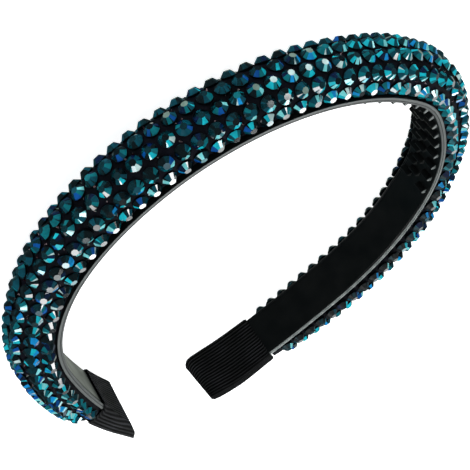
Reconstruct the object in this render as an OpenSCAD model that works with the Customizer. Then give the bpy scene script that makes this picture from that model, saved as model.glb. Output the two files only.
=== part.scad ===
// Padded headband covered in faceted stones, lying on its side.
// The hoop's plane is level: X runs ear to ear, Y from the open end to the crown, Z across the band.
// A place on the band is given by s, the length along the inner face from the middle of the crown
// (negative on the left), n, the distance outward from the inner face, and z, across the band.

/* [Hoop] */
// Radius of the inner face over the crown
crown_r = 61; // [56:0.5:66]
// Length of the crown's arc on each side of the middle
crown_len = 71; // [64:1:78]
// Radius of the inner face at the shoulder
shoulder_r = 54.6; // [50:0.2:60]
// Length of the shoulder's arc
shoulder_len = 46; // [42:1:50]
// Radius of the inner face at the side
side_r = 65.7; // [60:0.1:72]
// Length of the side's arc
side_len = 13; // [10:1:16]
// Radius of the nearly straight arm
arm_r = 224; // [180:2:300]
// Length of the arm, up to the end of the plastic
arm_len = 43.5; // [42:0.5:45]
// Thickness of the plastic
hoop_t = 1.6; // [1.2:0.1:2]

/* [Comb ridges] */
// Distance between ridges of one row along the band
ridge_pitch = 5.9; // [5:0.1:7]
// Ridges on each side of the middle one
ridge_count = 14; // [8:1:14]
// Height of a ridge above the inner face
ridge_h = 1.6; // [0.8:0.1:2]
// Width of a ridge at its foot
ridge_w = 1.7; // [1.2:0.1:2.4]
// Distance from the rim to the outer rows
ridge_inset = 1.25; // [0.8:0.05:1.6]

/* [Stones] */
// Diameter of a stone
stone_d = 4.05; // [3.8:0.05:4.05]
// Height of a stone
stone_h = 1.6; // [1.2:0.1:2]
// Share of the diameter that the flat table takes
table_share = 0.45; // [0.35:0.05:0.6]
// Facets round a stone
facets = 8; // [8:1:8]
// Distance between stones of an outer column, along the inner face
outer_pitch = 4.22; // [4.22:0.01:4.5]
// The same for the inner columns, over the crown
inner_pitch = 4.17; // [4.17:0.01:4.5]

/* [Ribbons] */
// Thickness of the ribbon on the inner face
ribbon_t = 0.7; // [0.5:0.1:0.8]

/* [Hidden] */

// Clearance between pieces that are glued or wrapped together
gap = 0.1;

// The inner face as tangent arcs from the crown to the tip: radius, length.
ARCS = [
    [crown_r, crown_len],
    [shoulder_r, shoulder_len],
    [side_r, side_len],
    [arm_r, arm_len],
];
hoop_len = crown_len + shoulder_len + side_len + arm_len;

// Half width of the plastic: distance from the crown, half width
HOOP_WIDTH = [
    [0, 9.6],
    [54, 8.4],
    [99, 7.1],
    [144, 6.9],
    [158, 6.8],
    [174, 6.5],
];

// Section of the pad on each side: distance from the crown, half width, crest height, squareness,
// how far its middle stands off the band's towards the upper rim, height where its sides are upright.
// The squareness is a superellipse's exponent: 2 is an ellipse. The pad is shaped by hand,
// so its two sides differ a little.
PAD_LEFT = [
    [0, 7.0, 9.8, 2.6, 1.2, 3.2],
    [25, 7.0, 9.6, 2.6, 0.7, 3.2],
    [50, 6.9, 10.6, 2.5, 0, 3.2],
    [75, 6.7, 10.9, 2.5, -0.4, 3.4],
    [100, 6.4, 11.2, 2.5, 0.1, 3.8],
    [130, 6.7, 11.4, 2.5, 1.4, 3.5],
    [150, 6.3, 11.1, 2.4, 1.4, 3.6],
    [160, 6.1, 10.6, 2.3, 0.8, 3.7],
];
PAD_RIGHT = [
    [0, 7.0, 9.8, 2.6, 1.2, 3.2],
    [25, 7.7, 10.8, 2.6, 0.3, 3.2],
    [50, 7.6, 11.4, 2.5, 0.3, 3.2],
    [75, 7.0, 11.1, 2.5, 0.2, 3.2],
    [100, 7.1, 11.2, 2.5, 0.6, 3.2],
    [130, 7.1, 11.2, 2.5, 0.5, 3.2],
    [150, 6.7, 10.5, 2.4, 0.2, 3.2],
    [160, 6.3, 9.5, 2.3, 0, 3.2],
];
// Where the pad ends on the left and on the right
pad_ends = [-160.2, 157.2];
pad_steps = 74;
pad_corners = 8;
// How far the pad's foot stands in from the plastic's rim
pad_foot_inset = 0.7;

// Wrapped tips: share of the way from mouth to end, upper edge, lower edge, outer height
RIBBON_LEFT = [
    [0, 7.6, 7.5, 7.3],
    [0.25, 8.5, 7.6, 6.4],
    [0.5, 9.1, 7.9, 5.5],
    [0.75, 9.6, 8.2, 4.5],
    [0.93, 9.9, 8.3, 3.8],
    [1, 9.7, 7.8, 3.5],
];
RIBBON_RIGHT = [
    [0, 7.5, 7.5, 4.6],
    [0.3, 7.9, 7.6, 4.2],
    [0.55, 8.2, 7.8, 3.8],
    [0.75, 8.1, 8.1, 3.3],
    [0.92, 7.8, 8.0, 2.8],
    [1, 7.4, 6.4, 2.5],
];
// Where a wrapped tip begins and ends along the band: inner face's upper and lower edge,
// then the outer face's
LEFT_MOUTH = [156, 160.6, 160.6, 160.6];
LEFT_END = [173.6, 179.6, 184.6, 180.6];
RIGHT_MOUTH = [157.4, 157.4, 157.6, 157.6];
RIGHT_END = [180.4, 182, 180.4, 182];

// Place and heading [x, y, angle] after going t along an arc of radius r from p
function along(p, r, t) =
    let (a = p[2] + t / r * 180 / PI)
    [p[0] + r * (sin(a) - sin(p[2])), p[1] + r * (cos(a) - cos(p[2])), a];

// Place and heading on the inner face, t from the crown. The last arc runs on past the plastic.
function walk(t, i = 0, p = [0, 0, 0]) =
    t <= ARCS[i][1] || i == len(ARCS) - 1
    ? along(p, ARCS[i][0], t)
    : walk(t - ARCS[i][1], i + 1, along(p, ARCS[i][0], ARCS[i][1]));

// Point in the part's frame from s, n and z
function at(s, n, z) =
    let (w = walk(abs(s)), side = s < 0 ? -1 : 1)
    [side * (w[0] + n * sin(w[2])), w[1] + n * cos(w[2]), z];

// Column c of a table at t, on a smooth curve through its rows that starts level
function row_of(tab, t, i = 0) = t <= tab[i + 1][0] || i == len(tab) - 2 ? i : row_of(tab, t, i + 1);
function slope(tab, c, i) =
    i == 0 ? 0
    : let (j = min(i + 1, len(tab) - 1)) (tab[j][c] - tab[i - 1][c]) / (tab[j][0] - tab[i - 1][0]);
function smooth(tab, c, t) =
    let (
        i = row_of(tab, t),
        h = tab[i + 1][0] - tab[i][0],
        u = min(max((t - tab[i][0]) / h, 0), 1)
    )
    (1 + 2 * u) * (1 - u) * (1 - u) * tab[i][c]
    + u * (1 - u) * (1 - u) * h * slope(tab, c, i)
    + u * u * (3 - 2 * u) * tab[i + 1][c]
    - u * u * (1 - u) * h * slope(tab, c, i + 1);

function hoop_half(s) = smooth(HOOP_WIDTH, 1, abs(s));

// Where the middle of the pad's section stands, as z
function pad_table(s) = s < 0 ? PAD_LEFT : PAD_RIGHT;
function pad_middle(s) = smooth(pad_table(s), 4, abs(s));

// Upper half of the pad's section at s, from its upright side to its crest, as [n, z from its middle]
function pad_side(s, corners) =
    let (
        tab = pad_table(s),
        b = smooth(tab, 1, abs(s)),
        crest = smooth(tab, 2, abs(s)),
        e = 2 / smooth(tab, 3, abs(s)),
        low = smooth(tab, 5, abs(s))
    )
    [for (i = [0:corners])
        let (a = 90 * i / corners)
        [low + (crest - low) * pow(sin(a), e), b * pow(max(cos(a), 0), e)]];

// Whole section of the pad with its foot on the plastic
function pad_ring(s) =
    let (
        side = pad_side(s, pad_corners),
        mid = pad_middle(s),
        widest = hoop_half(s) - pad_foot_inset
    )
    concat(
        [[hoop_t + gap, min(widest, mid + side[0][1])]],
        [for (p = side) [p[0], mid + p[1]]],
        [for (i = [pad_corners - 1:-1:0]) [side[i][0], mid - side[i][1]]],
        [[hoop_t + gap, max(-widest, mid - side[0][1])]]
    );

function backward(face) = [for (i = [len(face) - 1:-1:0]) face[i]];

// Flat end of a skin: one face
function flat_cap(n, first) = [[for (i = [0:n - 1]) first + i]];
// Bent end of a skin: strips from the ring's first half straight across to its second
function strip_cap(n, first) = [for (i = [0:n / 2 - 2])
    let (a = first + i, b = first + n - 1 - i)
    each [[a, a + 1, b - 1], [a, b - 1, b]]];

// Closed skin through rings of points, each ring in the same order and number
function skin_faces(rings, n, bent = false) =
    let (last = (rings - 1) * n)
    concat(
        [for (f = bent ? strip_cap(n, 0) : flat_cap(n, 0)) backward(f)],
        [for (r = [0:rings - 2], i = [0:n - 1])
            let (j = (i + 1) % n)
            each [
                [r * n + i, r * n + j, (r + 1) * n + j],
                [r * n + i, (r + 1) * n + j, (r + 1) * n + i]
            ]],
        bent ? strip_cap(n, last) : flat_cap(n, last)
    );

// Lengths along a polyline of [n, z] points, from its start
function lengths(p, i = 0, sum = 0, out = [0]) =
    i == len(p) - 1 ? out
    : let (l = sum + norm(p[i + 1] - p[i])) lengths(p, i + 1, l, concat(out, [l]));

// Place and outward angle [n, z, angle] on a polyline of [n, z] points, a length l from its start
function on_line(p, lens, l, i = 0) =
    l <= lens[i + 1] || i == len(p) - 2
    ? let (
        u = (l - lens[i]) / (lens[i + 1] - lens[i]),
        d = p[i + 1] - p[i],
        q = p[i] + u * d
    )
    [q[0], q[1], atan2(-d[1], d[0])]
    : on_line(p, lens, l, i + 1);

// Place on the pad at s, a length l round it from its upper or lower side: [n, z, angle].
// A negative edge means the lower side.
section_corners = 24;
function on_pad(s, l, edge) =
    let (p = pad_side(s, section_corners), q = on_line(p, lengths(p), l))
    [q[0], pad_middle(s) + edge * q[1], edge > 0 ? q[2] : 180 - q[2]];

// A seat on the pad is [s, l, edge, column]. Columns count from the upper edge.
column_count = 6;
edge_arc = 0.7;
least_step = stone_d - 0.03;
function half_round(s) = lengths(pad_side(s, section_corners))[section_corners];
function column_arc(s, k) =
    edge_arc + k * max(least_step, (2 * half_round(s) - 2 * edge_arc) / (column_count - 1));
function has_room(s, k) = column_arc(s, k) < half_round(s) - stone_d / 2;

// The seat of a column at s, if the pad is wide enough for it there
function column_seat(s, col) =
    let (k = min(col, column_count - 1 - col))
    has_room(s, k) ? [[s, column_arc(s, k), col < column_count / 2 ? 1 : -1, col]] : [];
// Where the two middle columns have ended, one stone on the crest if it has room
function crest_seat(s) =
    let (nearer = s - sign(s) * (stone_d + 0.4), half = half_round(s))
    !has_room(nearer, 2) && half - column_arc(s, 1) > least_step ? [[s, half, 1, column_count]] : [];

// Stones of the inner columns stand closer round the shoulders: distance from the crown,
// share of the spacing over the crown
CLOSER = [[0, 1], [40, 0.985], [60, 0.92], [75, 0.887], [100, 0.887], [125, 0.98], [160, 1.03]];
// Where each column's first stone right of the middle sits, then the crest's
STARTS = [0.1, 0.5, 3.5, 2.2, 1.4, 0.3, 0.6];
function spacing(col, s) =
    col == 0 || col == column_count - 1 ? outer_pitch : inner_pitch * lookup(abs(s), CLOSER);
// Places of a column's stones from s to the pad's end on one side
function run(col, s, side) =
    s > pad_ends[1] - stone_d / 2 || s < pad_ends[0] + stone_d / 2
    ? []
    : concat([s], run(col, s + side * spacing(col, s), side));
function left_start(col) = STARTS[col] - spacing(col, STARTS[col]);

// Frame of a seat: its place, its axis square to the pad, and two directions across the stone
function unit(v) = v / norm(v);
function seat_frame(q) =
    let (
        s = q[0],
        reach = 1.2,
        c = on_pad(s, q[1], q[2]),
        before = on_pad(s - reach, q[1], q[2]),
        after = on_pad(s + reach, q[1], q[2]),
        w = walk(abs(s)),
        side = s < 0 ? -1 : 1,
        outward = [side * sin(w[2]), cos(w[2]), 0],
        across = outward * -cos(c[2]) + [0, 0, sin(c[2])],
        ahead = side * (at(s + reach, after[0], after[1]) - at(s - reach, before[0], before[1])),
        axis = side * unit(cross(across, ahead))
    )
    [at(s, c[0], c[1]), axis, side * cross(axis, across), across];

// Corners of a cut stone: its flat back, then its table
function stone(q) =
    let (
        f = seat_frame(q),
        ring = function (r, h) [for (i = [0:facets - 1])
            let (a = (i + 0.5) * 360 / facets)
            f[0] + f[1] * h + (f[2] * cos(a) + f[3] * sin(a)) * r]
    )
    concat(ring(stone_d / 2, gap), ring(stone_d / 2 * table_share, stone_h));
function stone_faces(first, mirrored) =
    let (
        n = facets,
        faces = concat(
            [[for (i = [n - 1:-1:0]) i]],
            [for (i = [0:n - 1]) [i, (i + 1) % n, n + (i + 1) % n, n + i]],
            [[for (i = [0:n - 1]) n + i]]
        )
    )
    [for (f = faces) [for (i = [0:len(f) - 1]) first + (mirrored ? f[i] : f[len(f) - 1 - i])]];

// Every second stone, as on a chess board. The stones between them are smaller than this model holds.
STONES = [for (col = [0:column_count])
    let (right = run(col, STARTS[col], 1), left = run(col, left_start(col), -1))
    each [
        for (i = [0:len(right) - 1])
            if ((i + col) % 2 == 0) each col < column_count ? column_seat(right[i], col) : crest_seat(right[i]),
        for (i = [0:len(left) - 1])
            if ((i + 1 + col) % 2 == 0) each col < column_count ? column_seat(left[i], col) : crest_seat(left[i])
    ]];

// Section of a flat bar with rounded edges, as [n, z], from its highest n and z round to the start
function bar_ring(upper, lower, low, high, round) = [
    for (q = [[high - round, upper - round, 90], [low + round, upper - round, 180],
              [low + round, round - lower, 270], [high - round, round - lower, 0]])
    for (a = [q[2] - 90, q[2] - 45, q[2]])
    [q[0] + round * cos(a), q[1] + round * sin(a)]];

// A value on the band's face from its four corner values, as listed with the ribbon's tables
function between(corners, n, z, half) =
    let (
        u = min(max((n + ribbon_t) / (hoop_t + ribbon_t), 0), 1),
        v = min(max((z + half) / (2 * half), 0), 1)
    )
    (1 - u) * (v * corners[0] + (1 - v) * corners[1]) + u * (v * corners[2] + (1 - v) * corners[3]);

// The ribbon is a sock: its skin, and the pocket that holds the end of the plastic.
// Each ring is a list of [s, n, z].
edge_round = 0.65;
outer_steps = 12;
inner_steps = 4;
function ribbon_rings(side) =
    let (
        tab = side < 0 ? RIBBON_LEFT : RIBBON_RIGHT,
        mouth = side < 0 ? LEFT_MOUTH : RIGHT_MOUTH,
        end = side < 0 ? LEFT_END : RIGHT_END,
        pocket_half = hoop_half(mouth[0]) + gap,
        pocket_end = hoop_len + gap,
        inner = [for (i = [inner_steps:-1:0])
            let (u = i / inner_steps)
            [for (p = bar_ring(pocket_half, pocket_half, -gap, hoop_t + gap, 0.05))
                let (m = between(mouth, p[0], p[1], 7.5))
                [m + u * (pocket_end - m), p[0], p[1]]]],
        outer = [for (i = [0:outer_steps])
            let (u = i / outer_steps)
            [for (p = bar_ring(smooth(tab, 1, u), smooth(tab, 2, u), -ribbon_t, smooth(tab, 3, u), edge_round))
                let (m = between(mouth, p[0], p[1], 7.5), e = between(end, p[0], p[1], 8.5))
                [m + u * (e - m), p[0], p[1]]]]
    )
    concat(inner, outer);
function ribbon_points(side) =
    [for (r = ribbon_rings(side)) each [for (p = r) at(side * p[0], p[1], p[2])]];

// Level of the lowest point, on which the headband lies
stone_points = [for (q = STONES) each stone(q)];
rest_z = max(hoop_half(0), -min([for (p = stone_points) p[2]]));
// The origin is under the middle of the whole outline
open_end_y = min([for (p = concat(ribbon_points(-1), ribbon_points(1))) p[1]]);
crown_y = max([for (p = stone_points) p[1]]);
middle_y = -(open_end_y + crown_y) / 2;

module placed() {
    translate([0, middle_y, rest_z]) children();
}

// One arc of the plastic, from its start p
module hoop_arc(r, l, p) {
    turn = l / r * 180 / PI;
    // The arc's centre lies straight inward from its start
    translate([p[0] - r * sin(p[2]), p[1] - r * cos(p[2]), 0])
        rotate([0, 0, 90 - p[2] - turn])
            rotate_extrude(angle = turn, $fn = 180)
                translate([r, -HOOP_WIDTH[0][1] - 1])
                    square([hoop_t, 2 * HOOP_WIDTH[0][1] + 2]);
}

module hoop_side() {
    lap = 0.02;
    hoop_arc(crown_r, crown_len + lap, walk(0));
    hoop_arc(shoulder_r, shoulder_len + lap, walk(crown_len));
    hoop_arc(side_r, side_len + lap, walk(crown_len + shoulder_len));
    hoop_arc(arm_r, arm_len, walk(crown_len + shoulder_len + side_len));
}

// The band's changing width, seen from the side
module taper() {
    steps = 12;
    margin = 6;
    upper = concat(
        [[margin, hoop_half(0)], [0, hoop_half(0)]],
        [for (i = [1:steps]) let (t = hoop_len * i / steps) [walk(t)[1], hoop_half(t)]],
        [[walk(hoop_len)[1] - margin, hoop_half(hoop_len)]]
    );
    lower = [for (i = [len(upper) - 1:-1:0]) [upper[i][0], -upper[i][1]]];
    width = 200;
    rotate([90, 0, 90])
        translate([0, 0, -width / 2])
            linear_extrude(width)
                polygon(concat(upper, lower));
}

// A ridge at s, from z down to z - l
module ridge(s, z, l) {
    w = walk(abs(s));
    sink = 0.4;
    tip_w = 0.5;
    mirror([s < 0 ? 1 : 0, 0, 0])
        translate([w[0], w[1], z - l])
            rotate([0, 0, -w[2]])
                linear_extrude(l)
                    polygon([
                        [-ridge_w / 2, sink], [ridge_w / 2, sink],
                        [tip_w / 2, -ridge_h], [-tip_w / 2, -ridge_h]
                    ]);
}

module ridges() {
    for (k = [-ridge_count:ridge_count]) {
        s = k * ridge_pitch;
        top = hoop_half(s) - ridge_inset;
        l = hoop_half(s) * 0.48;
        ridge(s, top, l);
        ridge(s, l - top, l);
        if (k < ridge_count) {
            m = s + ridge_pitch / 2;
            ridge(m, l / 2, l);
        }
    }
}

module hoop() {
    color([0.06, 0.06, 0.065])
        placed()
            union() {
                intersection() {
                    union() {
                        hoop_side();
                        mirror([1, 0, 0]) hoop_side();
                    }
                    taper();
                }
                ridges();
            }
}

module padded_cover() {
    stations = [for (i = [0:pad_steps]) pad_ends[0] + (pad_ends[1] - pad_ends[0]) * i / pad_steps];
    ring_n = len(pad_ring(0));
    color([0.03, 0.035, 0.06])
        placed()
            polyhedron(
                points = [for (s = stations) each [for (p = pad_ring(s)) at(s, p[0], p[1])]],
                faces = skin_faces(len(stations), ring_n),
                convexity = 8
            );
}

module crystal_field() {
    color([0.03, 0.35, 0.42])
        placed()
            polyhedron(
                points = stone_points,
                faces = [for (i = [0:len(STONES) - 1])
                    each stone_faces(i * 2 * facets, STONES[i][0] < 0)],
                convexity = 12
            );
}

module ribbon(side) {
    rings = ribbon_rings(side);
    faces = skin_faces(len(rings), len(rings[0]), true);
    placed()
        polyhedron(
            points = ribbon_points(side),
            faces = side > 0 ? faces : [for (f = faces) backward(f)],
            convexity = 6
        );
}

module ribbon_left() {
    color([0.05, 0.05, 0.05]) ribbon(-1);
}

module ribbon_right() {
    color([0.05, 0.05, 0.05]) ribbon(1);
}

hoop();
padded_cover();
crystal_field();
ribbon_left();
ribbon_right();
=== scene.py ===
import math

import bmesh
import bpy
import numpy as np
from mathutils import Matrix, Vector


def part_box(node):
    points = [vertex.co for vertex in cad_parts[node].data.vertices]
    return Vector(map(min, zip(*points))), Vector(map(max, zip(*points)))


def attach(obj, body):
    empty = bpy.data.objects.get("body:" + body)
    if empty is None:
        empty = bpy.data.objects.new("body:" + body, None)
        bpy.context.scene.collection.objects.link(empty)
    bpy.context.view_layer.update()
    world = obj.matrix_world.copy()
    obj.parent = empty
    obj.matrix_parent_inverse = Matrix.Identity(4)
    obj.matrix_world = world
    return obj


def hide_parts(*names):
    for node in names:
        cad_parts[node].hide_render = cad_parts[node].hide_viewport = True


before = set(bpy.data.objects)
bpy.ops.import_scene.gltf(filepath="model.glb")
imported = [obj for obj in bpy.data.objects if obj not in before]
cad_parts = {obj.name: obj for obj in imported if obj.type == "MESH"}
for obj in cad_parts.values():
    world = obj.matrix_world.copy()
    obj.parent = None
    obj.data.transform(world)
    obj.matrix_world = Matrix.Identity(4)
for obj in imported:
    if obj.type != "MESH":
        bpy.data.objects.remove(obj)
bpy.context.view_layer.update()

SEED = 20417
# Sizes are in millimetres, and this is one in metres
MM = 0.001

# The inner face as tangent arcs from the crown to the tip: radius, length
ARCS = [(61.0, 71.0), (54.6, 46.0), (65.7, 13.0), (224.0, 43.5)]
HOOP_LEN = sum(length for _, length in ARCS)
# Usual radius of the band
USUAL_R = 60
# Thickness of the plastic, then its half width: distance from the crown, half width
HOOP_T = 1.6
HOOP_WIDTH = [(0, 9.6), (54, 8.4), (99, 7.1), (144, 6.9), (158, 6.8), (174, 6.5)]

# Section of the pad on each side: distance from the crown, half width, crest's height above the
# inner face, squareness as a superellipse's exponent, how far its middle stands off the band's
# towards the upper rim, height where its sides are upright
PAD_LEFT = [
    (0, 7.0, 9.8, 2.6, 1.2, 3.2),
    (25, 7.0, 9.6, 2.6, 0.7, 3.2),
    (50, 6.9, 10.6, 2.5, 0, 3.2),
    (75, 6.7, 10.9, 2.5, -0.4, 3.4),
    (100, 6.4, 11.2, 2.5, 0.1, 3.8),
    (130, 6.7, 11.4, 2.5, 1.4, 3.5),
    (150, 6.3, 11.1, 2.4, 1.4, 3.6),
    (160, 6.1, 10.6, 2.3, 0.8, 3.7),
]
PAD_RIGHT = [
    (0, 7.0, 9.8, 2.6, 1.2, 3.2),
    (25, 7.7, 10.8, 2.6, 0.3, 3.2),
    (50, 7.6, 11.4, 2.5, 0.3, 3.2),
    (75, 7.0, 11.1, 2.5, 0.2, 3.2),
    (100, 7.1, 11.2, 2.5, 0.6, 3.2),
    (130, 7.1, 11.2, 2.5, 0.5, 3.2),
    (150, 6.7, 10.5, 2.4, 0.2, 3.2),
    (160, 6.3, 9.5, 2.3, 0, 3.2),
]
# Where the pad ends on the left and on the right, and how far its foot stands in from the rim
PAD_ENDS = (-160.2, 157.2)
PAD_FOOT_INSET = 0.7
# Clearance between pieces that are glued or wrapped together
GAP = 0.1

# How much further out the band runs than the solid at its right shoulder: most, where, how far round
SHOULDER = (1.0, 35.0, 12.0)
# How much narrower the lower half of the band is than the solid's, and how far the last column of
# stones is set down the pad's side and off it, all on the right: rows of s, millimetres
LOWER_TRIM = [(14, 0), (30, 2.7), (76, 2.7), (92, 0.9), (115, 0.3), (150, 0)]
LAST_DROP = [(25, 0), (50, 1.2), (66, 1.3), (80, 1.7), (180, 1.7)]
LAST_LIFT = [(60, 0), (85, 0.45), (180, 0.5)]

# The hoop's own frame has s along the inner face from the crown, n outward and z across. The
# solid says where it lies, in millimetres: the crown's inner face at MIDDLE_Y, mid-width at REST_Z.
low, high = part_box("hoop")
MIDDLE_Y = high[1] / MM - HOOP_T
REST_Z = (low[2] + high[2]) / 2 / MM


# The line of the band and the sections along it
def clamp(v):
    return min(max(v, 0), 1)


def along(table, s):
    """Second column of a table at s, on straight lines through its rows."""
    return float(np.interp(s, *zip(*table)))


def smooth(table, c, t):
    """Column c of a table at t, on a smooth curve through its rows that starts level."""
    i = 0
    while t > table[i + 1][0] and i < len(table) - 2:
        i += 1
    h = table[i + 1][0] - table[i][0]
    u = clamp((t - table[i][0]) / h)

    def slope(k):
        if k == 0:
            return 0.0
        j = min(k + 1, len(table) - 1)
        return (table[j][c] - table[k - 1][c]) / (table[j][0] - table[k - 1][0])

    return ((1 + 2 * u) * (1 - u) ** 2 * table[i][c] + u * (1 - u) ** 2 * h * slope(i)
            + u * u * (3 - 2 * u) * table[i + 1][c] - u * u * (1 - u) * h * slope(i + 1))


def walk(t):
    """Place and heading on the inner face, t from the crown."""
    x = y = a = 0.0
    for i, (r, length) in enumerate(ARCS):
        u = t if i == len(ARCS) - 1 or t <= length else length
        b = a + u / r
        x += r * (math.sin(b) - math.sin(a))
        y += r * (math.cos(b) - math.cos(a))
        a = b
        t -= u
        if t <= 0:
            break
    return x, y, a


def at(s, n, z):
    """Point in the frame that all pieces share, in metres, from s, n and z in millimetres."""
    x, y, a = walk(abs(s))
    side = -1 if s < 0 else 1
    most, middle, reach = SHOULDER
    n += most * math.exp(-((s - middle) / reach) ** 2)
    return Vector((side * (x + n * math.sin(a)) * MM,
                   (y + n * math.cos(a) + MIDDLE_Y) * MM,
                   (z + REST_Z) * MM))


def hoop_half(s):
    return smooth(HOOP_WIDTH, 1, abs(s))


def pad_table(s):
    return PAD_LEFT if s < 0 else PAD_RIGHT


def pad_middle(s):
    """Where the middle of the pad's section stands, as z."""
    return smooth(pad_table(s), 4, abs(s))


def pad_side(s, corners):
    """Upper half of the pad's section from its side to its crest, as (n, z from its middle)."""
    half, crest, squareness, upright = [smooth(pad_table(s), c, abs(s)) for c in (1, 2, 3, 5)]
    e = 2 / squareness
    out = []
    for i in range(corners + 1):
        a = math.pi / 2 * i / corners
        out.append((upright + (crest - upright) * math.sin(a) ** e, half * max(math.cos(a), 0) ** e))
    return out


def path_lengths(points):
    """Length along a path up to each of its points."""
    steps = np.hypot(*(points[1:] - points[:-1]).T)
    return np.concatenate([[0], np.cumsum(steps)])


# Meshes
def new_object(name, verts, faces, smooth_faces=True):
    mesh = bpy.data.meshes.new(name)
    mesh.from_pydata([tuple(v) for v in verts], [], faces)
    mesh.validate()
    mesh.polygons.foreach_set("use_smooth", [smooth_faces] * len(mesh.polygons))
    mesh.update()
    obj = bpy.data.objects.new(name, mesh)
    bpy.context.scene.collection.objects.link(obj)
    return obj


def skin(rings, closed_ends=True):
    """Vertices and faces of a skin through rings of points, all of one length."""
    n = len(rings[0])
    verts = [p for r in rings for p in r]
    faces = []
    for r in range(len(rings) - 1):
        for i in range(n):
            j = (i + 1) % n
            faces.append((r * n + i, r * n + j, (r + 1) * n + j, (r + 1) * n + i))
    if closed_ends:
        faces.append(tuple(range(n - 1, -1, -1)))
        faces.append(tuple((len(rings) - 1) * n + i for i in range(n)))
    return verts, faces


def join(verts, faces, more_verts, more_faces):
    """Adds a second mesh's vertices and faces to the first one's lists."""
    base = len(verts)
    verts.extend(more_verts)
    faces.extend(tuple(base + i for i in face) for face in more_faces)


def outward(obj, sharp_angle):
    """Turns every face of a closed mesh to the outside and marks the edges that look sharp."""
    bm = bmesh.new()
    bm.from_mesh(obj.data)
    bmesh.ops.recalc_face_normals(bm, faces=bm.faces)
    bm.to_mesh(obj.data)
    bm.free()
    obj.data.set_sharp_from_angle(angle=math.radians(sharp_angle))


def point_values(obj, name, values):
    """Gives the mesh an attribute with one number for each vertex."""
    attr = obj.data.attributes.new(name, "FLOAT", "POINT")
    attr.data.foreach_set("value", values)


# Materials
def material(name):
    mat = bpy.data.materials.new(name)
    mat.use_nodes = True
    nt = mat.node_tree
    return mat, nt, nt.nodes["Principled BSDF"]


def node(nt, kind, **values):
    """A new node with its settings and its sockets' values."""
    n = nt.nodes.new(kind)
    for key, value in values.items():
        if hasattr(n, key):
            setattr(n, key, value)
        else:
            n.inputs[key].default_value = value
    return n


def noise(nt, **values):
    """Noise that is fixed to the object."""
    n = node(nt, "ShaderNodeTexNoise", **values)
    coord = node(nt, "ShaderNodeTexCoord")
    nt.links.new(coord.outputs["Object"], n.inputs["Vector"])
    return n.outputs["Fac"]


def grey(v):
    return (v, v, v)


def ramp(nt, source, *stops):
    """Colour of a value, through stops of (place, colour)."""
    n = nt.nodes.new("ShaderNodeValToRGB")
    while len(n.color_ramp.elements) > len(stops):
        n.color_ramp.elements.remove(n.color_ramp.elements[-1])
    while len(n.color_ramp.elements) < len(stops):
        n.color_ramp.elements.new(1.0)
    for element, (place, colour) in zip(n.color_ramp.elements, stops):
        element.position = place
        element.color = (*colour, 1)
    nt.links.new(source, n.inputs[0])
    return n.outputs["Color"]


def mixed(nt, a, b, share=None):
    """Colour a with a share of b in its place, or a times b where no share is given."""
    n = nt.nodes.new("ShaderNodeMix")
    n.data_type = "RGBA"
    if share is None:
        n.blend_type = "MULTIPLY"
        n.inputs[0].default_value = 1.0
    else:
        nt.links.new(share, n.inputs[0])
    nt.links.new(a, n.inputs[6])
    nt.links.new(b, n.inputs[7])
    return n.outputs[2]


def bump(nt, shader, height, strength, distance):
    n = node(nt, "ShaderNodeBump", Strength=strength, Distance=distance)
    nt.links.new(height, n.inputs["Height"])
    nt.links.new(n.outputs["Normal"], shader.inputs["Normal"])


def plastic_material():
    """Black moulded plastic with a painted grey highlight on its rim, by the mesh's attribute rim."""
    mat, nt, shader = material("moulded_plastic")
    cloud = noise(nt, Scale=160.0, Detail=4.0)
    black = ramp(nt, cloud, (0.3, (0.0022, 0.0026, 0.0028)), (0.7, (0.0045, 0.005, 0.005)))
    # A painted highlight, grey, for the rim and the ridges' ends
    rim_highlight_colour = ramp(nt, cloud, (0.3, (0.27, 0.30, 0.29)), (0.7, (0.41, 0.44, 0.42)))
    rim = node(nt, "ShaderNodeAttribute", attribute_name="rim")
    nt.links.new(mixed(nt, black, rim_highlight_colour, rim.outputs["Fac"]), shader.inputs["Base Color"])
    nt.links.new(ramp(nt, cloud, (0.3, grey(0.30)), (0.7, grey(0.42))), shader.inputs["Roughness"])
    bump(nt, shader, noise(nt, Scale=900.0, Detail=4.0, Roughness=0.6), 0.12, 0.0001)
    shader.inputs["Specular IOR Level"].default_value = 0.12
    return mat


def fabric_material(name, dark, light, weave=2600.0, painted_light_attribute=None):
    """Matt woven cloth. An attribute, where one is given, darkens the colour with painted shade and
    lightens it with painted highlight.
    """
    mat, nt, shader = material(name)
    colour = ramp(nt, noise(nt, Scale=140.0, Detail=3.0), (0.35, dark), (0.7, light))
    # Painted shade where the attribute is low and painted highlight where it is high
    if painted_light_attribute:
        painted_light = node(nt, "ShaderNodeAttribute", attribute_name=painted_light_attribute)
        shade = ramp(nt, painted_light.outputs["Fac"], (0.25, grey(0.1)), (0.95, (7.0, 7.0, 6.9)))
        colour = mixed(nt, colour, shade)
    nt.links.new(colour, shader.inputs["Base Color"])
    bump(nt, shader, noise(nt, Scale=weave, Detail=2.0, Roughness=0.5), 0.5, 0.0002)
    shader.inputs["Roughness"].default_value = 0.85
    shader.inputs["Specular IOR Level"].default_value = 0.15
    return mat


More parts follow.
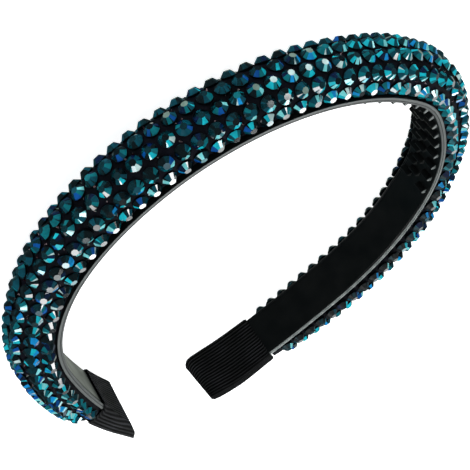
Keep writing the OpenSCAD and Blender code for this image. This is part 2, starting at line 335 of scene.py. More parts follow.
def stone_material():
    """Cut glass: the face attribute facet holds a colour, the glass's own dark teal with painted
    glints and painted reflections, and how polished the face is as alpha.
    """
    mat, nt, shader = material("cut_stone")
    facet = node(nt, "ShaderNodeAttribute", attribute_name="facet")
    cloud = ramp(nt, noise(nt, Scale=420.0, Detail=3.0), (0.3, grey(0.62)), (0.7, grey(1)))
    polish = facet.outputs["Alpha"]
    nt.links.new(mixed(nt, facet.outputs["Color"], cloud), shader.inputs["Base Color"])
    rough = ramp(nt, polish, (0.0, grey(0.65)), (1.0, grey(0.08)))
    level = ramp(nt, polish, (0.0, grey(0.06)), (1.0, grey(0.5)))
    nt.links.new(rough, shader.inputs["Roughness"])
    nt.links.new(level, shader.inputs["Specular IOR Level"])
    shader.inputs["IOR"].default_value = 1.75
    return mat


# The hoop: a swept strip with a trimmed rim, and rows of comb ridges inside the crown
HOOP_STEPS = 348
# The trimmed rim from the outer face to the inner one: n, depth below the rim, and how much painted
# highlight it has
RIM = [
    (1.60, 0.16, 0.0),
    (1.57, 0.03, 0.7),
    (1.52, 0.0, 1.0),
    (0.86, 0.0, 1.0),
    (0.82, 0.03, 0.25),
    (0.74, 0.10, 0.12),
    (0.66, 0.10, 0.12),
    (0.60, 0.04, 0.5),
    (0.16, 0.06, 0.6),
    (0.05, 0.14, 0.5),
    (0.02, 0.28, 0.2),
    (0.16, 0.40, 0.0),
    (0.16, 0.62, 0.0),
    (0.0, 0.76, 0.0),
    (0.0, 1.1, 0.0),
]
# Painted highlight on the upper rim, as s and a share of its most, and the share of that on the lower
# rim, which is in shade
RIM_HIGHLIGHT = [(-180, 0.33), (60, 0.33), (90, 0.7), (120, 1.0), (180, 1.0)]
LOWER_RIM_HIGHLIGHT = 0.25

# Distance between the ridges of a row, and how many there are on each side of the middle one
RIDGE_PITCH = 5.9
RIDGE_COUNT = 14
# Distance from the rim to the outer rows, and a ridge's length as a share of the half width
RIDGE_INSET = 1.25
RIDGE_SHARE = 0.48
# Section of a ridge along the band: place, n
RIDGE_SECTION = [(-0.85, 0.3), (-0.80, 0.0), (-0.36, -1.25), (-0.16, -1.55),
                 (0.16, -1.55), (0.36, -1.25), (0.80, 0.0), (0.85, 0.3)]
# Rounding of its ends: distance from the end, share of the section's size
RIDGE_ROUNDING = [(0.0, 0.55), (0.12, 0.9), (0.35, 1.0)]
# Painted highlight on the rings of points along a ridge, from its upper end, and how much of that is
# left away from the upper rim, where it is in shade
RIDGE_HIGHLIGHTS = [0.6, 0.25, 0.0, 0.0, 0.0, 0.0]
RIDGE_SHADED_SHARE = 0.1


def hoop_section(upper, lower):
    """Section of the strip as (n, z, painted highlight), from its upper and lower half widths."""
    def side(h):
        return [(n, h - depth, painted_light) for n, depth, painted_light in RIM] + [(0.0, h * 0.5, 0.0)]

    under = [(n, -z, painted_light * LOWER_RIM_HIGHLIGHT) for n, z, painted_light in reversed(side(lower))]
    outer = [(HOOP_T, -lower * 0.5, 0.0), (HOOP_T, 0.0, 0.0), (HOOP_T, upper * 0.5, 0.0)]
    return side(upper) + [(0.0, 0.0, 0.0)] + under + outer


def ridge(s, z, length):
    """A comb ridge across the band at s, from z down."""
    heading = walk(abs(s))[2]
    ahead = Vector((math.cos(heading), math.copysign(math.sin(heading), -s), 0))
    stations = [(z - inset, share) for inset, share in RIDGE_ROUNDING]
    stations += [(z - length + inset, share) for inset, share in reversed(RIDGE_ROUNDING)]
    rings = []
    for height, share in stations:
        ring = []
        for place, n in RIDGE_SECTION:
            if n < 0:
                n *= 0.9 + 0.1 * share
            ring.append(at(s, n, height) + ahead * place * (0.85 + 0.15 * share) * MM)
        rings.append(ring)
    return skin(rings)


def hoop():
    rings = []
    hoop_highlights = []
    for i in range(HOOP_STEPS + 1):
        s = -HOOP_LEN + 2 * HOOP_LEN * i / HOOP_STEPS
        section = hoop_section(hoop_half(s), hoop_half(s) - along(LOWER_TRIM, s))
        rings.append([at(s, n, z) for n, z, _ in section])
        # Painted highlight on the rim, more of it on the right arm
        rim_lit = along(RIM_HIGHLIGHT, s)
        hoop_highlights += [painted_light * rim_lit for _, _, painted_light in section]
    verts, faces = skin(rings)

    def add_ridge(s, z, length, lit):
        join(verts, faces, *ridge(s, z, length))
        for painted_light in RIDGE_HIGHLIGHTS:
            hoop_highlights.extend([painted_light * lit] * len(RIDGE_SECTION))

    for k in range(-RIDGE_COUNT, RIDGE_COUNT + 1):
        s = k * RIDGE_PITCH
        top = hoop_half(s) - RIDGE_INSET
        length = hoop_half(s) * RIDGE_SHARE
        # The upper row gets the whole painted highlight, the rows in shade a share of it
        add_ridge(s, top, length, 1.0)
        # The lower row stands in with the trimmed half of the band
        add_ridge(s, length - top + 0.9 * along(LOWER_TRIM, s), length, RIDGE_SHADED_SHARE)
        if k < RIDGE_COUNT:
            add_ridge(s + RIDGE_PITCH / 2, length / 2, length, RIDGE_SHADED_SHARE)
    obj = new_object("hoop_band", verts, faces)
    point_values(obj, "rim", hoop_highlights)
    outward(obj, sharp_angle=28)
    obj.data.materials.append(plastic_material())
    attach(obj, "root")
    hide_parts("hoop")


# The pad: fabric drawn over foam, a little puckered between the stones
PAD_STEPS = 420
PAD_CORNERS = 22
# Its foot on the band: height above the plastic's clearance, how far in from the side
PAD_FOOT = [(0.02, 0.5), (0.05, 0.08), (0.35, 0.0)]
# Puckers along its upper side: depth, radians to the millimetre. They fade up the side, from the
# corner of the section where they are deepest, over so many corners.
PUCKERS = [(0.10, 2 * math.pi / 4.28), (0.05, 1.1)]
PUCKER_CORNER = 3
PUCKER_FADE = 3.0


def pad():
    rng = np.random.default_rng(SEED)
    phases = rng.uniform(0, 6.28, len(PUCKERS))
    rings = []
    for i in range(PAD_STEPS + 1):
        s = PAD_ENDS[0] + (PAD_ENDS[1] - PAD_ENDS[0]) * i / PAD_STEPS
        side = pad_side(s, PAD_CORNERS)
        mid = pad_middle(s)
        pull = sum(depth * math.sin(s * rate + phase) for (depth, rate), phase in zip(PUCKERS, phases))
        halves = []
        for edge in (1, -1):
            foot = min(hoop_half(s) - PAD_FOOT_INSET, side[0][1] + edge * mid)
            half = [(HOOP_T + GAP + rise, foot - inset) for rise, inset in PAD_FOOT]
            half += [(n, z + edge * mid) for n, z in side]
            ring = []
            for k, (n, z) in enumerate(half):
                if edge > 0 and k >= len(PAD_FOOT) - 1:
                    z += pull * math.exp(-((k - PUCKER_CORNER) / PUCKER_FADE) ** 2)
                ring.append((n, edge * z))
            halves.append(ring)
        # The crest is in both halves
        rings.append([at(s, n, z) for n, z in halves[0] + halves[1][-2::-1]])
    obj = new_object("fabric_pad", *skin(rings))
    outward(obj, sharp_angle=60)
    cloth = fabric_material("cover_fabric", (0.0015, 0.0015, 0.003), (0.004, 0.004, 0.010))
    obj.data.materials.append(cloth)
    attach(obj, "root")
    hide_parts("padded_cover")


# The stones: their diameter, height, the flat table's share of the diameter, and how many wide
# facets and narrow ones they have
STONE_D = 4.05
STONE_H = 1.6
TABLE = 0.45
FACETS = 8
# Height of the girdle's lower and upper edge
GIRDLE = (0.22, 0.36)
# The glue's foot as a share of the radius, how far it is off the pad, and its least distance from
# the plastic
GLUE_SHARE = 0.94
GLUE_GAP = 0.03
GLUE_LEAST = 0.4
# Columns from the upper rim over the crest to the lower one, distance of the first from the pad's
# side, and the least distance between two
COLUMNS = 6
EDGE_ARC = 0.7
LEAST_STEP = STONE_D - 0.03
# Points that lengths round the pad are measured through
ARC_CORNERS = 40
# How far from a stone of the middle columns the crest's own column may begin
CREST_STEP = STONE_D + 0.4
# Distance between stones of an outer column and of an inner one, along the inner face
OUTER_PITCH = 4.22
INNER_PITCH = 4.17
# The inner columns' share of that distance: distance from the crown, share
CLOSER = [(0, 1), (40, 0.985), (60, 0.92), (75, 0.887), (100, 0.887), (125, 0.98), (160, 1.03)]
# Where each column starts by the crown, as s. The last one is for the short columns on the crest
# near the ends.
STARTS = [0.1, 0.5, 3.5, 2.2, 1.4, 0.3, 0.6]


def on_pad(s, l, edge):
    """Place and outward angle on the pad at s, a length l round it from its upper or lower side.
    A length below zero runs down the upright side."""
    p = np.array(pad_side(s, ARC_CORNERS))
    lens = path_lengths(p)
    if l < 0:
        return p[0][0] + l, pad_middle(s) + edge * p[0][1], 0.0 if edge > 0 else math.pi
    i = min(int(np.searchsorted(lens, l, side="right")) - 1, len(p) - 2)
    d = p[i + 1] - p[i]
    q = p[i] + (l - lens[i]) / (lens[i + 1] - lens[i]) * d
    a = math.atan2(-d[1], d[0])
    return q[0], pad_middle(s) + edge * q[1], a if edge > 0 else math.pi - a


def half_round(s):
    """Length round the pad from its side to its crest."""
    return path_lengths(np.array(pad_side(s, ARC_CORNERS)))[-1]


def pad_point(s, l, edge):
    """Point on the pad in metres. The length may run past the crest or down the upright side."""
    half = half_round(s)
    if l > half:
        l = 2 * half - l
        edge = -edge
    n, z, _ = on_pad(s, l, edge)
    return at(s, max(n, HOOP_T + GLUE_LEAST), z)


def seat_frame(s, l, edge):
    """Seat on the pad, its outward direction and the direction round the pad."""
    reach = 1.2
    n, z, c = on_pad(s, l, edge)
    n0, z0, _ = on_pad(s - reach, l, edge)
    n1, z1, _ = on_pad(s + reach, l, edge)
    heading = walk(abs(s))[2]
    side = -1 if s < 0 else 1
    out = Vector((side * math.sin(heading), math.cos(heading), 0))
    across = out * -math.cos(c) + Vector((0, 0, math.sin(c)))
    ahead = (at(s + reach, n1, z1) - at(s - reach, n0, z0)) * side
    axis = across.cross(ahead).normalized() * side
    return at(s, n, z), axis, across


def column_arc(s, k):
    """Length round the pad at s to the column that is k columns from its side."""
    return EDGE_ARC + k * max(LEAST_STEP, (2 * half_round(s) - 2 * EDGE_ARC) / (COLUMNS - 1))


def has_room(s, k):
    return column_arc(s, k) < half_round(s) - STONE_D / 2


def column_places(col):
    """Every s in a column, from the left end of the pad to the right."""
    def spacing(s):
        if col in (0, COLUMNS - 1):
            return OUTER_PITCH
        return INNER_PITCH * along(CLOSER, abs(s))

    right = [STARTS[col]]
    while right[-1] + spacing(right[-1]) <= PAD_ENDS[1] - STONE_D / 2:
        right.append(right[-1] + spacing(right[-1]))
    left = [STARTS[col] - spacing(STARTS[col])]
    while left[-1] - spacing(left[-1]) >= PAD_ENDS[0] + STONE_D / 2:
        left.append(left[-1] - spacing(left[-1]))
    return left[::-1] + right


def seats():
    """Every stone: (column, s, arc, edge). The last column is the crest's, near the ends."""
    out = []
    for col in range(COLUMNS):
        k = min(col, COLUMNS - 1 - col)
        for s in column_places(col):
            if has_room(s, k):
                drop = along(LAST_DROP, s) if col == COLUMNS - 1 else 0
                out.append((col, s, column_arc(s, k) - drop, 1 if col < COLUMNS / 2 else -1))
    for s in column_places(COLUMNS):
        nearer = s - math.copysign(CREST_STEP, s)
        if not has_room(nearer, 2) and half_round(s) - column_arc(s, 1) > LEAST_STEP:
            out.append((COLUMNS, s, half_round(s), 1))
    return out


# Colours of single facets, from the darkest to the brightest: the dark ones are the glass's own, the
# bright ones painted glints
INK = (0.0006, 0.0030, 0.0045)
DEEP = (0.0010, 0.030, 0.040)
NAVY = (0.0010, 0.010, 0.055)
PETROL = (0.002, 0.078, 0.115)
TEAL = (0.003, 0.205, 0.245)
BLUE = (0.003, 0.100, 0.430)
AZURE = (0.010, 0.380, 0.900)
CYAN = (0.012, 0.680, 0.820)
ICE = (0.300, 0.960, 0.980)
FROST = (0.750, 0.970, 0.950)
# Sage for painted reflections on pale tables and painted glints on the glue, the glue's own dark, and
# rose for its painted glints
SAGE = (0.230, 0.330, 0.280)
PLUM = (0.030, 0.006, 0.012)
ROSE = (0.420, 0.300, 0.320)
# What a bright colour becomes on the shaded side of the band
DIMMER = {ICE: TEAL, FROST: TEAL, CYAN: TEAL, AZURE: BLUE, TEAL: PETROL}
# Tables with painted reflections, most of them pale: column, from s, to s, colour
PALE = [
    (2, -25, -7, FROST),
    (2, -29, -25, SAGE),
    (3, -45, -37, SAGE),
    (3, -17, -7, SAGE),
    (1, -18, -14, SAGE),
    (2, 16, 34, SAGE),
    (1, -30, -26, PETROL),
]
# Stretches of the field, with different amounts of painted glints: the left tip ends at the first s,
# the vivid crown runs between the next two, and the right arm follows
TIP_END = -105
VIVID = (-12, 75)


def pick(rng, *choices):
    """One of (weight, colour), by weight."""
    total = sum(w for w, _ in choices)
    r = rng.random() * total
    for w, colour in choices:
        r -= w
        if r <= 0:
            return colour
    return choices[-1][1]


def stretch_looks(s):
    """How much more painted glint colour the facets have at s, the weight of frosty ones, and the
    chance and the weight of cyan for a third bright facet."""
    if s < TIP_END:
        return 0.8, 0.8, 0.6, 0.6
    if VIVID[0] < s < VIVID[1]:
        return 2.6, 0.8, 0.95, 2.0
    if s >= VIVID[1]:
        return -0.4, 0.2, 0.1, 0.6
    return 0.35 if s > -60 else 0.0, 1.1, 0.6, 0.6


def liveliness(col, s, shaded):
    """Chance that a stone's best placed facet has a painted glint in one of the bright colours."""
    if shaded and not VIVID[0] < s < VIVID[1]:
        return 0.45
    if col in (2, 3) and -95 < s < -32:
        return 0.62
    return 0.86 if s < TIP_END else 0.92


def facet_colours(rng, col, s, facing):
    """Colour of every facet, wide and narrow ones in turn. facing holds how far each one faces the
    column's bright side, and those facing it most get painted glints; shaded columns get painted
    shade."""
    shaded = col >= 4 or (col == 3 and s < -25)
    hidden_in_shade = col == COLUMNS - 1 and s > 25
    vivid = VIVID[0] < s < VIVID[1]
    arm = s >= VIVID[1]
    blue = 0.65 if s < TIP_END or s > 60 else 0.30
    extra, frosty, third_chance, third_cyan = stretch_looks(s)
    wide = facing[::2]
    order = sorted(range(FACETS), key=lambda i: -(wide[i] + rng.normal(0, 0.42)))
    base = [pick(rng, (4.5 - 1.5 * extra, INK), (2.6, DEEP), (1.2, NAVY), (1.1 + extra, PETROL),
                 (max(0.45 + extra, 0), TEAL), (max(0.5 * extra, 0), CYAN)) for _ in wide]
    first, second, third = order[:3]
    # The facet that faces the bright side most gets a painted glint
    if rng.random() < liveliness(col, s, shaded):
        base[first] = pick(rng, (3.0, ICE), (frosty, FROST), (4.0 * (1 - blue), CYAN),
                           (3.5 * blue, AZURE))
    else:
        base[first] = pick(rng, (2, TEAL), (1, BLUE), (2, PETROL))
    base[second] = pick(rng, (3.0 * (1 - blue), TEAL), (2.0 * blue, BLUE), (1.4, CYAN),
                        (1.4 * blue, AZURE), (1.5, PETROL))
    if vivid or (col == 0 and s > 50):
        base[second] = pick(rng, (2.0, CYAN), (2.5 * blue, AZURE), (1.0, ICE), (1.5, TEAL))
    if rng.random() < third_chance:
        base[third] = pick(rng, (2, TEAL), (2 * blue, BLUE), (1.5, PETROL), (third_cyan, CYAN))
    if shaded and not (vivid and rng.random() < 0.75):
        base = [DIMMER.get(c, c) if rng.random() < 0.75 else c for c in base]
    # Painted shade: the last column on the right arm is all dark
    if hidden_in_shade:
        base = [c if c in (INK, DEEP, NAVY) else INK for c in base]
    out = []
    for i in range(FACETS):
        # Narrow facets facing the bright side get painted glints too
        bright = facing[2 * i + 1] > 0.2 and not shaded
        near = base[i] if rng.random() < 0.5 else base[(i + 1) % FACETS]
        frost = 0.0 if arm else 1.2 if bright else 0.1
        cyan = 1.0 if bright else 0.1
        alone = pick(rng, (4, INK), (1.5, DEEP), (0.8, PETROL), (frost, FROST), (cyan, CYAN))
        narrow = near if rng.random() < 0.55 else alone
        out += [base[i], INK if hidden_in_shade else narrow]
    return out


def stone_faces():
    """Faces of a stone on its foot of glue, in the order of its colours."""
    around = 2 * FACETS
    lower, upper, top = around, 2 * around, 3 * around
    faces = [tuple(range(around - 1, -1, -1))]
    for i in range(around):
        j = (i + 1) % around
        faces.append((i, j, lower + j, lower + i))
        faces.append((lower + i, lower + j, upper + j, upper + i))
    for i in range(FACETS):
        j = (i + 1) % FACETS
        faces.append((upper + 2 * i, upper + 2 * i + 1, top + j, top + i))
        faces.append((upper + 2 * i + 1, upper + (2 * i + 2) % around, top + j))
    faces.append(tuple(top + i for i in range(FACETS)))
    return faces


def stone_colours(rng, col, s, twist):
    """Colour and polish of the glue's foot, its sides and the girdle, the facets and the table."""
    colours = [(*INK, 0)]
    for _ in range(2 * FACETS):
        colours += [(*INK, 0), (*pick(rng, (4, INK), (1, DEEP), (0.4, PETROL)), 0.3)]
    # Facets facing the bright side get painted glints. The bright side is the upper rim's in columns 1
    # to 3, and the other one elsewhere
    toward = 0.9 if 0 < col < 4 else -0.9
    lean = -0.45 if col == 0 else 0.25
    turns = [(i + 1) * math.pi / FACETS + twist for i in range(2 * FACETS)]
    facing = [lean * math.cos(a) - toward * math.sin(a) for a in turns]
    polish = 0.22 if col == 0 and s > 50 else 1
    colours += [(*colour, polish) for colour in facet_colours(rng, col, s, facing)]
    table = pick(rng, (5, INK), (3, DEEP), (1.2, PETROL), (0.5, TEAL))
    for c, s0, s1, pale in PALE:
        if c == col and s0 < s < s1:
            table = pale
    colours.append((*table, pick(rng, (6, 1.0), (2, 0.8), (1.4, 0.6))))
    return colours


def stone(rng, col, s, l, edge):
    """A stone on its foot of glue: vertices, faces, and each face's colour with its polish."""
    seat, axis, across = seat_frame(s, l, edge)
    if col == COLUMNS - 1:
        seat = seat + axis * along(LAST_LIFT, s) * MM
    forth = axis.cross(across).normalized()
    tilt = rng.normal(0, 0.055, 2)
    up = (axis + forth * tilt[0] + across * tilt[1]).normalized()
    # e2 points away from the upper rim
    e1 = (forth - up * forth.dot(up)).normalized()
    e2 = up.cross(e1)
    size = rng.uniform(0.99, 1.008)
    twist = rng.uniform(-0.39, 0.39)
    r = STONE_D / 2
    sector = 2 * math.pi / FACETS

    def spoke(a):
        return e1 * math.cos(a) + e2 * math.sin(a)

    def ring(angles, radius, h):
        return [seat + (up * h + spoke(a) * radius * size) * MM for a in angles]

    # Each wide facet has two corners of the girdle, and a narrow facet joins it to the next
    turns = []
    for i in range(FACETS):
        turns += [i * sector + math.radians(within) + twist for within in (7.5, 37.5)]
    # The foot of the glue under the stone follows the pad, which is longer than the band inside it
    stretch = 1 + on_pad(s, l, edge)[0] / USUAL_R
    verts = []
    for a in turns:
        d = spoke(a) * r * GLUE_SHARE
        foot = pad_point(s + d.dot(forth) / stretch, l - edge * d.dot(across), edge)
        verts.append(foot + axis * GLUE_GAP * MM)
    verts += ring(turns, r, GIRDLE[0]) + ring(turns, r, GIRDLE[1])
    verts += ring([i * sector + twist for i in range(FACETS)], r * TABLE, STONE_H)
    return verts, stone_faces(), stone_colours(rng, col, s, twist)


def glue_seat(rng, k, s):
    """Seat for a bit of glue in the hollows after column k near s, or None."""
    if rng.random() > 0.6:
        return None
    s += rng.uniform(-2.2, 2.2)
    half = half_round(s)
    first = column_arc(s, 0)
    l = first + (k - 0.5) * (column_arc(s, 1) - first) + rng.uniform(-0.25, 0.25)
    if abs(s) > 150 or (l > half and not has_room(s, 2)):
        return None
    return (s, l, 1) if l <= half else (s, 2 * half - l, -1)


def glue_bit(rng, s, l, edge, corners=5):
    """A bit of glue with painted glints, as a small uneven cone: vertices, faces, and colours with
    polish.
    """
    seat, axis, across = seat_frame(s, l, edge)
    forth = axis.cross(across).normalized()
    wide = rng.uniform(0.25, 0.5)
    high = rng.uniform(0.35, 0.8)
    verts = []
    for i in range(corners):
        a = i * 2 * math.pi / corners + rng.uniform(-0.3, 0.3)
        r = wide * rng.uniform(0.7, 1.1)
        verts.append(seat + (forth * math.cos(a) * r + across * math.sin(a) * r - axis * 0.1) * MM)
    aside = forth * rng.uniform(-0.2, 0.2) + across * rng.uniform(-0.2, 0.2)
    verts.append(seat + (axis * high + aside) * MM)
    faces = [(i, (i + 1) % corners, corners) for i in range(corners)]
    colours = [(*pick(rng, (2, PLUM), (1.3, ROSE), (0.5, SAGE)), 0.7) for _ in faces]
    faces.append(tuple(range(corners - 1, -1, -1)))
    colours.append((*PLUM, 0))
    return verts, faces, colours


def stones():
    rng = np.random.default_rng(SEED + 1)
    verts, faces, colours = [], [], []

    def add(more_verts, more_faces, more_colours):
        join(verts, faces, more_verts, more_faces)
        colours.extend(more_colours)

    for seat in seats():
        add(*stone(rng, *seat))
    # Bits of glue with painted glints, in the hollows between four stones
    for k in range(1, COLUMNS):
        for s in column_places(min(k, COLUMNS - 2)):
            seat = glue_seat(rng, k, s)
            if seat:
                add(*glue_bit(rng, *seat))
    obj = new_object("stone_field", verts, faces, smooth_faces=False)
    attr = obj.data.attributes.new("facet", "FLOAT_COLOR", "FACE")
    attr.data.foreach_set("color", np.array(colours, dtype=float).ravel())
    obj.data.materials.append(stone_material())
    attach(obj, "root")
    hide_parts("crystal_field")


# The ribbon round each tip: its thickness, how many ribs run along the band, and their depth
RIBBON_T = 0.7
RIBS = 40
RIB_DEPTH = 0.32
# Points round the ribbon and steps along it
RIBBON_POINTS = 320
RIBBON_STEPS = 44
# Wrapped tips: share of the way from mouth to end, upper edge, lower edge, outer height
RIBBON_LEFT = [
    (0, 7.6, 7.5, 7.3),
    (0.25, 8.5, 7.6, 6.4),
    (0.5, 9.1, 7.9, 5.5),
    (0.75, 9.6, 8.2, 4.5),
    (0.93, 9.9, 8.3, 4.0),
    (1, 9.8, 7.8, 4.0),
]
RIBBON_RIGHT = [
    (0, 7.5, 7.5, 4.6),
    (0.3, 7.9, 7.6, 4.2),
    (0.55, 8.2, 7.8, 3.8),
    (0.75, 8.1, 8.1, 3.3),
    (0.92, 7.8, 8.0, 2.8),
    (1, 7.4, 6.4, 2.5),
]
# Where a wrapped tip begins and ends along the band, on the left and on the right: upper and lower
# edge of the inner face, then of the outer one
MOUTHS = {-1: (156, 160.6, 160.6, 160.6), 1: (157.4, 157.4, 157.6, 157.6)}
ENDS = {-1: (173.6, 179.6, 184.6, 180.6), 1: (180.4, 182, 180.4, 182)}
# How far those edges are from the middle
MOUTH_HALF = 7.5
END_HALF = 8.5
# Shares of the way from the mouth to the hoop's end, for the ribbon's lining on the plastic
LINING = [0.7, 0.35, 0.1]
# How far the ribbon is drawn in at its mouth and at its end, by the step along it
HEMS = {0: 0.35, RIBBON_STEPS: 0.45}
# Radius of its rounded edges, there and elsewhere, and how near the edges their grooves begin
HEM_ROUNDING = 0.3
ROUNDING = 0.6
EDGE_GROOVE = 0.75


def outer_share(n):
    """0 on the ribbon's inner face, 1 on the outer face of the plastic and beyond it."""
    return clamp((n + RIBBON_T) / (HOOP_T + RIBBON_T))


def upper_share(z, half):
    """0 at the lower edge, 1 at the upper one."""
    return clamp((z + half) / (2 * half))


def between(corners, n, z, half):
    """Place along the band at n and z, from the four at a mouth's or an end's corners."""
    u = outer_share(n)
    v = upper_share(z, half)
    inner = v * corners[0] + (1 - v) * corners[1]
    outer = v * corners[2] + (1 - v) * corners[3]
    return (1 - u) * inner + u * outer


def end_cut(n, z, high):
    """How much is cut off the left ribbon's end, so that it is hollow in the middle and has a point
    at its outer upper corner."""
    v = upper_share(z, END_HALF)
    inner = 1 - clamp((n - HOOP_T) / (high - HOOP_T))
    return outer_share(n) * (0.1 + 0.9 * math.sin(math.pi * v) + 3.4 * v ** 6 * inner)


def bar_loop(upper, lower, inner, outer, rounding):
    """Evenly spaced points round a flat bar with rounded edges, as (n, z, share of the loop)."""
    centres = [(outer - rounding, upper - rounding), (inner + rounding, upper - rounding),
               (inner + rounding, rounding - lower), (outer - rounding, rounding - lower)]
    path = []
    for quarter, (n, z) in enumerate(centres):
        for degrees in range(quarter * 90, quarter * 90 + 91, 15):
            a = math.radians(degrees)
            path.append((n + rounding * math.cos(a), z + rounding * math.sin(a)))
    path.append(path[0])
    p = np.array(path)
    lens = path_lengths(p)
    t = np.linspace(0, lens[-1], RIBBON_POINTS, endpoint=False)
    return np.stack([np.interp(t, lens, p[:, 0]), np.interp(t, lens, p[:, 1]), t / lens[-1]], axis=1)


def ribbon(side, name, node_name):
    table = RIBBON_LEFT if side < 0 else RIBBON_RIGHT
    mouth, end = MOUTHS[side], ENDS[side]
    rings = []
    half = hoop_half(mouth[0]) + GAP
    for u in LINING:
        ring = []
        for n, z, _ in bar_loop(half, half, -GAP, HOOP_T + GAP, 0.05):
            m = between(mouth, n, z, MOUTH_HALF)
            ring.append(at(side * (m + u * (HOOP_LEN + GAP - m)), n, z))
        rings.append(ring)
    # Painted highlight on each point, by how far it stands up on a rib: none on the lining, and less
    # on the right ribbon, as it is less lit
    rib_light = [0.0] * (len(LINING) * RIBBON_POINTS)
    painted_light = 1 if side < 0 else 0.6
    for i in range(RIBBON_STEPS + 1):
        u = i / RIBBON_STEPS
        upper, lower, high = [smooth(table, c, u) for c in (1, 2, 3)]
        hem = HEMS.get(i, 0.0)
        inner, outer = hem * 0.6 - RIBBON_T, high - hem * 0.6
        ring = []
        rounding = HEM_ROUNDING if hem else ROUNDING
        for n, z, t in bar_loop(upper - hem, lower - hem, inner, outer, rounding):
            rib = 0.5 + 0.5 * math.cos(2 * math.pi * RIBS * t)
            rib_light.append(rib ** 1.5 * painted_light)
            deep = 0 if hem else RIB_DEPTH * (1 - rib ** 0.6)
            # A groove goes in from a face, from an edge, or from both where they meet
            edge = upper if z > 0 else lower
            face_side = 0 if abs(z) > edge - ROUNDING else (1 if n > (high - RIBBON_T) / 2 else -1)
            edge_side = 0 if abs(z) < edge - EDGE_GROOVE else (1 if z > 0 else -1)
            m = between(mouth, n, z, MOUTH_HALF)
            e = between(end, n, z, END_HALF)
            if side < 0:
                e -= end_cut(n, z, RIBBON_LEFT[-1][3])
            ring.append(at(side * (m + u * (e - m)), n - face_side * deep, z - edge_side * deep))
        rings.append(ring)
    obj = new_object(name, *skin(rings))
    outward(obj, sharp_angle=60)
    point_values(obj, "rib", rib_light)
    # Painted shade in the grooves and painted highlight on the ribs
    light = (0.007, 0.007, 0.008)
    cloth = fabric_material("ribbed_" + name, grey(0.003), light, weave=3200.0, painted_light_attribute="rib")
    obj.data.materials.append(cloth)
    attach(obj, "root")
    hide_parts(node_name)


# The photo's camera: its place from the crown's inner face, then its heading, its tilt from straight
# down and its roll in degrees
CAMERA_PLACE = (-239.49, 193.23, 171.86)
HEADING = -136.778
TILT = 63.347
ROLL = 143.807
# The photo's side and the camera's focal length in pixels, and the width of its sensor
PHOTO_SIDE = 470
FOCAL = 1413.4
SENSOR = 36

# The floor's half side in metres, and the backdrop's radius as a share of it
FLOOR_HALF = 4.0
BACKDROP_SHARE = 0.99

# Soft lights: direction as azimuth and elevation, width and height as seen from the object, all in
# degrees, then radiance
SOFTBOXES = {
    "back_box": (-45, 38, 20, 11, 13.0),
    "back_strip": (-42, 26, 34, 11, 2.6),
    "left_top_box": (-137, 58, 30, 22, 9.0),
    "right_top_box": (76, 46, 15, 13, 14.0),
    "right_low_box": (5, 10, 26, 9, 1.8),
}
# How far they stand from the middle, in metres
LIGHT_DISTANCE = 1.2
# The dim room, and the paler floor that the left tip's inner face mirrors, low in this direction
ROOM = (0.06, 0.108, 0.12)
MIRRORED = (0.80, 0.88, 0.78)
MIRRORED_TOWARD = (0.694, -0.583, -0.423)


def camera():
    place = Vector(CAMERA_PLACE) + Vector((0, MIDDLE_Y, REST_Z))
    data = bpy.data.cameras.new("photo_camera")
    data.sensor_width = SENSOR
    data.lens = FOCAL * SENSOR / PHOTO_SIDE
    data.clip_start = 0.01
    data.clip_end = 20
    cam = bpy.data.objects.new("photo_camera", data)
    turn = Matrix.Identity(4)
    for angle, axis in ((HEADING, "Z"), (TILT, "X"), (ROLL, "Z")):
        turn = turn @ Matrix.Rotation(math.radians(angle), 4, axis)
    cam.matrix_world = Matrix.Translation(place * MM) @ turn
    bpy.context.scene.collection.objects.link(cam)
    bpy.context.scene.camera = cam


def pale_material(name, colour, glow):
    mat, _, shader = material(name)
    shader.inputs["Base Color"].default_value = (*colour, 1)
    shader.inputs["Emission Color"].default_value = (1, 1, 1, 1)
    shader.inputs["Emission Strength"].default_value = glow
    return mat, shader


def floor():
    corners = [(-1, -1), (1, -1), (1, 1), (-1, 1)]
    verts = [(x * FLOOR_HALF, y * FLOOR_HALF, 0) for x, y in corners]
    obj = new_object("floor", verts, [(0, 1, 2, 3)])
    mat, shader = pale_material("pale_floor", grey(0.8), 0.95)
    shader.inputs["Roughness"].default_value = 0.9
    shader.inputs["Specular IOR Level"].default_value = 0.1
    obj.data.materials.append(mat)
    # The photo's background is cut out, so the floor doesn't mirror in the stones
    obj.visible_glossy = False


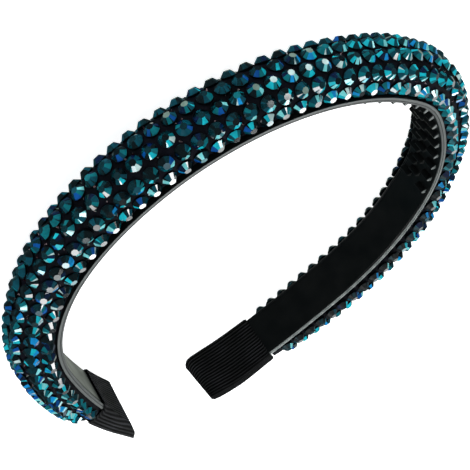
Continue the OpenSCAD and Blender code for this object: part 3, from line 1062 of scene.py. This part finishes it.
def backdrop(corners=48):
    """A pale wall round the floor, for low views. Only the camera sees it."""
    reach = FLOOR_HALF * BACKDROP_SHARE
    turns = [2 * math.pi * i / corners for i in range(corners)]
    rings = [[(reach * math.cos(a), reach * math.sin(a), z) for a in turns] for z in (0, reach)]
    obj = new_object("backdrop", *skin(rings, closed_ends=False))
    mat, _ = pale_material("pale_backdrop", grey(0), 1.0)
    obj.data.materials.append(mat)
    obj.visible_diffuse = False
    obj.visible_glossy = False
    obj.visible_shadow = False


def softbox(name, azimuth, elevation, wide, tall, radiance):
    a = math.radians(azimuth)
    e = math.radians(elevation)
    d = Vector((math.cos(e) * math.cos(a), math.cos(e) * math.sin(a), math.sin(e)))
    data = bpy.data.lights.new(name, "AREA")
    data.shape = "RECTANGLE"
    data.size = 2 * LIGHT_DISTANCE * math.tan(math.radians(wide / 2))
    data.size_y = 2 * LIGHT_DISTANCE * math.tan(math.radians(tall / 2))
    data.energy = radiance * math.pi * data.size * data.size_y
    obj = bpy.data.objects.new(name, data)
    obj.location = Vector((0, 0, 0.01)) + d * LIGHT_DISTANCE
    obj.rotation_euler = d.to_track_quat("Z", "Y").to_euler()
    bpy.context.scene.collection.objects.link(obj)


def lights():
    for name, values in SOFTBOXES.items():
        softbox(name, *values)
    world = bpy.data.worlds.new("studio")
    bpy.context.scene.world = world
    world.use_nodes = True
    nt = world.node_tree
    coord = nt.nodes.new("ShaderNodeTexCoord")
    toward = node(nt, "ShaderNodeVectorMath", operation="DOT_PRODUCT")
    toward.inputs[1].default_value = MIRRORED_TOWARD
    nt.links.new(coord.outputs["Generated"], toward.inputs[0])
    colour = ramp(nt, toward.outputs["Value"], (0.82, ROOM), (0.94, MIRRORED))
    nt.links.new(colour, nt.nodes["Background"].inputs["Color"])
    bpy.context.scene.view_settings.view_transform = "Standard"


camera()
floor()
backdrop()
lights()
hoop()
pad()
stones()
ribbon(-1, "ribbon_wrap_left", "ribbon_left")
ribbon(1, "ribbon_wrap_right", "ribbon_right")
